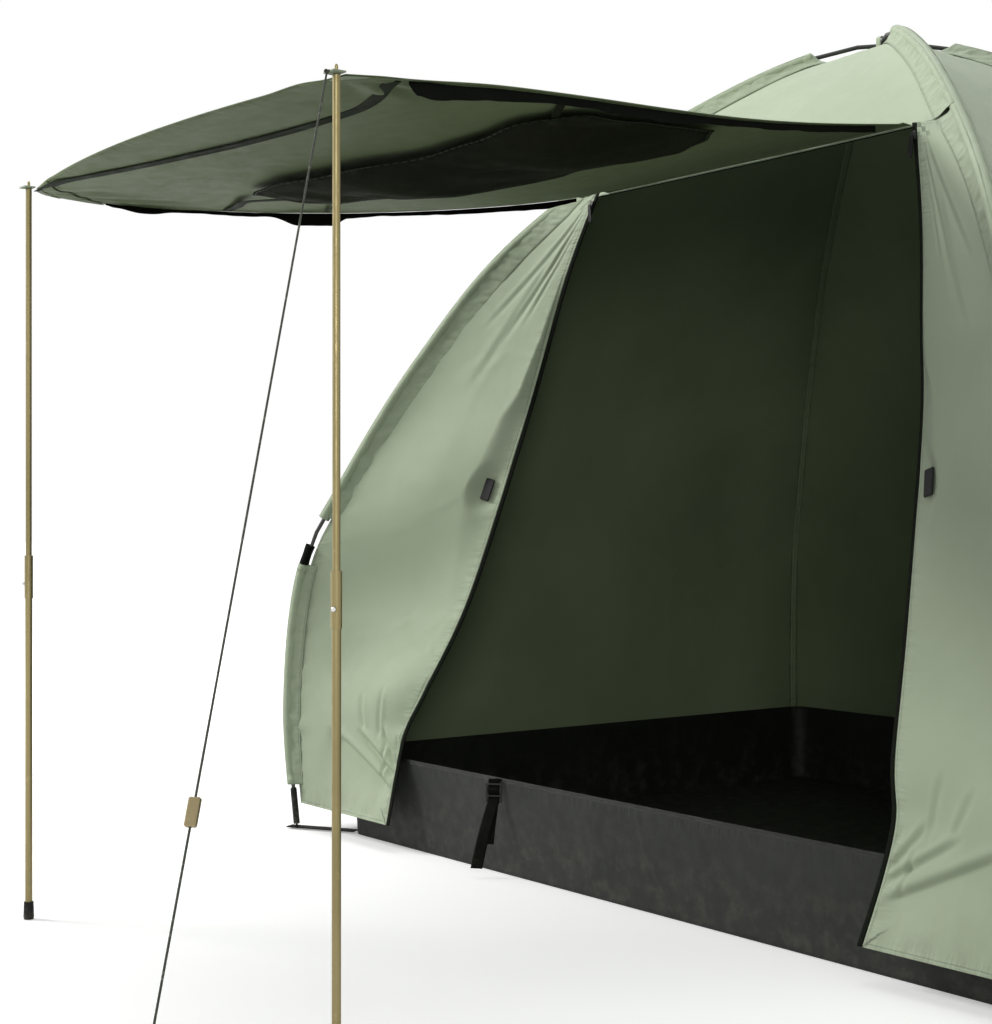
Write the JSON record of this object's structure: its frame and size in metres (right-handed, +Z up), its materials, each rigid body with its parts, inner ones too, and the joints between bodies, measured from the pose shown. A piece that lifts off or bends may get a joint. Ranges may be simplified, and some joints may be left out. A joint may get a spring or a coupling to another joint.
{
  "type": "two-person dome tent",
  "caption": "Dome tent on two crossed arch poles in sleeves, with a floor tub and a front door flap raised as an awning on telescopic poles, a mesh door under it and a guy line.",
  "frame": {"origin": "underside of the floor tub, under the middle of the crossed arch poles", "axes": "+Z up, -Y out of the door, +X to the right of someone who looks out of the rear, along +Y from outside the door"},
  "size_m": [2.2052, 3.12, 1.7807],
  "materials": {
    "skin_cloth": "coated polyester, sage green",
    "awning_cloth": "coated polyester, dark olive underside",
    "mesh_cloth": "fine black netting",
    "floor_cloth": "coated groundsheet cloth",
    "black_webbing": "woven webbing and zip tape",
    "cord": "braided cord",
    "arch_pole_tube": "anodised, bronze",
    "awning_pole_tube": "anodised, bronze",
    "black_plastic": "moulded",
    "bright_steel": "bright",
    "runner_metal": "anodised"
  },
  "bodies": {
    "tent": {"under_pole_section_1": "arch_pole_tube", "under_pole_section_2": "arch_pole_tube", "under_pole_section_3": "arch_pole_tube", "under_pole_section_4": "arch_pole_tube", "under_pole_section_5": "arch_pole_tube", "over_pole_section_1": "arch_pole_tube", "over_pole_section_2": "arch_pole_tube", "over_pole_section_3": "arch_pole_tube", "over_pole_section_4": "arch_pole_tube", "over_pole_section_5": "arch_pole_tube", "pole_tip_front_left": "black_plastic", "pole_tip_front_right": "black_plastic", "pole_tip_back_left": "black_plastic", "pole_tip_back_right": "black_plastic", "pole_foot_left": "black_plastic", "pole_foot_right": "black_plastic", "door_toggle_left": "black_plastic", "door_toggle_right": "black_plastic", "ladder_lock_buckle": "black_plastic", "pole_sleeve_front_left": "skin_cloth", "pole_sleeve_front_right": "skin_cloth", "pole_sleeve_back_left": "skin_cloth", "pole_sleeve_back_right": "skin_cloth", "side_panel_left": "skin_cloth", "side_panel_right": "skin_cloth", "back_panel": "skin_cloth", "front_roof_panel": "skin_cloth", "crown_patch": "skin_cloth", "wing_left": "skin_cloth", "wing_right": "skin_cloth", "crossing_tie": "skin_cloth", "zip_tape_left": "black_webbing", "zip_tape_right": "black_webbing", "header_band": "black_webbing", "foot_tab_front_left": "black_webbing", "foot_tab_front_right": "black_webbing", "foot_tab_back_left": "black_webbing", "foot_tab_back_right": "black_webbing", "buckle_strap": "black_webbing", "floor_tub": "floor_cloth", "awning_pole_lower_left": "awning_pole_tube", "awning_pole_lower_right": "awning_pole_tube", "pole_collar_left": "awning_pole_tube", "pole_collar_right": "awning_pole_tube", "guy_line": "cord", "guy_ground_loop": "cord"},
    "flap": {"door_flap": "awning_cloth", "flap_zip_cover_left": "black_webbing", "flap_zip_cover_right": "black_webbing", "mesh_door": "mesh_cloth"},
    "pole_top_left": {"awning_pole_upper_left": "awning_pole_tube", "corner_tab_left": "skin_cloth"},
    "pole_top_right": {"awning_pole_upper_right": "awning_pole_tube", "corner_tab_right": "skin_cloth"},
    "button_left": {"snap_button_left": "bright_steel"},
    "button_right": {"snap_button_right": "bright_steel"},
    "slider_left": {"zip_slider_left": "bright_steel"},
    "slider_right": {"zip_slider_right": "bright_steel"},
    "runner": {"line_runner": "runner_metal"}
  },
  "joints": [
    {"name": "flap_hinge", "type": "hinge", "parent": "tent", "child": "flap", "pos_m": [0, -0.43717, 1.46], "axis": [1, 0, 0], "range_deg": [0, 68]},
    {"name": "pole_slide_left", "type": "slide", "parent": "tent", "child": "pole_top_left", "axis": [0, 0, 1], "range_m": [-0.51, 0]},
    {"name": "pole_slide_right", "type": "slide", "parent": "tent", "child": "pole_top_right", "axis": [0, 0, 1], "range_m": [-0.51, 0]},
    {"name": "snap_button_left_press", "type": "slide", "parent": "tent", "child": "button_left", "axis": [0.5878, 0.809, 0], "range_m": [0, 0.0014], "stiffness_N_per_m": 400},
    {"name": "snap_button_right_press", "type": "slide", "parent": "tent", "child": "button_right", "axis": [-0.5878, 0.809, 0], "range_m": [0, 0.0014], "stiffness_N_per_m": 400},
    {"name": "zip_slide_left", "type": "slide", "parent": "tent", "child": "slider_left", "axis": [-0.2948, -0.233, -0.9267], "range_m": [0, 0.06]},
    {"name": "zip_slide_right", "type": "slide", "parent": "tent", "child": "slider_right", "axis": [0.2948, -0.233, -0.9267], "range_m": [0, 0.06]},
    {"name": "runner_slide", "type": "slide", "parent": "tent", "child": "runner", "axis": [-0.281, 0.338, 0.8982], "range_m": [-0.05, 0.05]}
  ]
}
